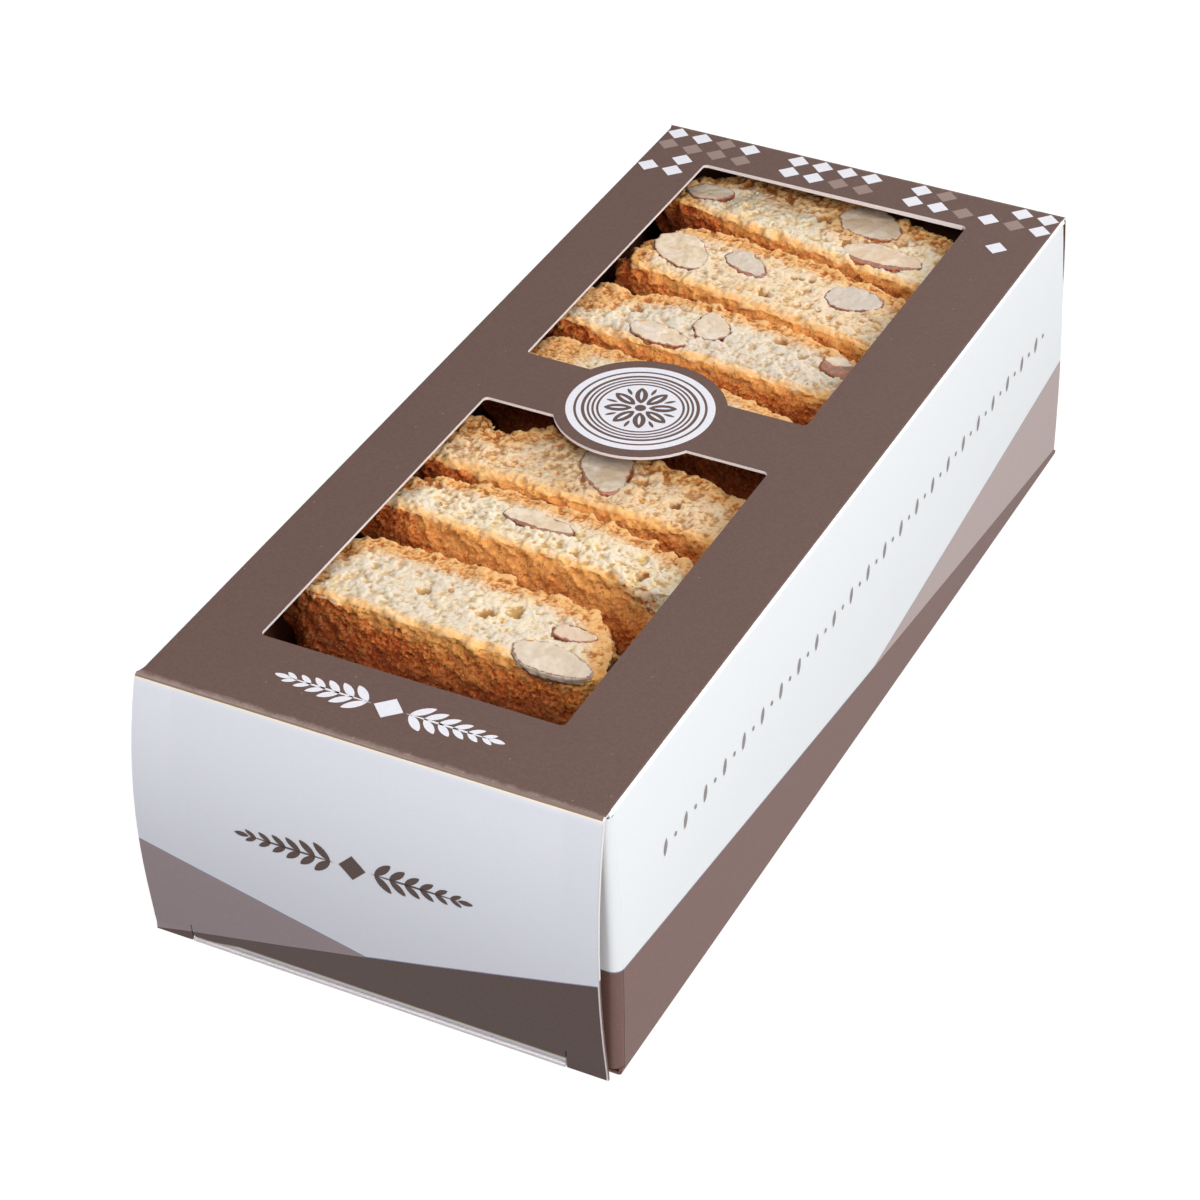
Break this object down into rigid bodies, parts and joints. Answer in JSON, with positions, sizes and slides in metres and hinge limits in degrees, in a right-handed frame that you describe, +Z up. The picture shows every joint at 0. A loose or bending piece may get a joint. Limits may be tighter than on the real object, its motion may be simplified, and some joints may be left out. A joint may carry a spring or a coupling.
{
  "type": "windowed carton of almond biscotti",
  "caption": "Long folding carton with two top windows and a round badge tab, filled with layers of sliced almond biscotti laid cut face up.",
  "frame": {"origin": "middle of the carton's base, on the surface that it rests on", "axes": "+X across the carton, +Y along it from the near closing panel to the far one, +Z up through the windowed top panel"},
  "size_m": [0.0944, 0.2242, 0.0578],
  "materials": {
    "paperboard": "matte",
    "biscuit": "matte",
    "almond": "satin"
  },
  "bodies": {
    "root": {"carton": "paperboard", "biscotto_1": "biscuit", "biscotto_2": "biscuit", "biscotto_3": "biscuit", "biscotto_4": "biscuit", "biscotto_5": "biscuit", "biscotto_6": "biscuit", "biscotto_7": "biscuit", "almond_1_1": "almond", "almond_1_2": "almond", "almond_2_1": "almond", "almond_3_1": "almond", "almond_5_1": "almond", "almond_5_2": "almond", "almond_5_3": "almond", "almond_6_1": "almond", "almond_6_2": "almond", "almond_6_3": "almond", "almond_7_1": "almond", "almond_7_2": "almond", "almond_7_3": "almond", "biscotto_low_1_1": "biscuit", "biscotto_low_1_2": "biscuit", "biscotto_low_1_3": "biscuit", "biscotto_low_1_4": "biscuit", "biscotto_low_1_5": "biscuit", "biscotto_low_1_6": "biscuit", "biscotto_low_1_7": "biscuit", "biscotto_low_1_8": "biscuit", "biscotto_low_2_1": "biscuit", "biscotto_low_2_2": "biscuit", "biscotto_low_2_3": "biscuit", "biscotto_low_2_4": "biscuit", "biscotto_low_2_5": "biscuit", "biscotto_low_2_6": "biscuit", "biscotto_low_2_7": "biscuit", "biscotto_low_2_8": "biscuit"}
  },
  "joints": []
}
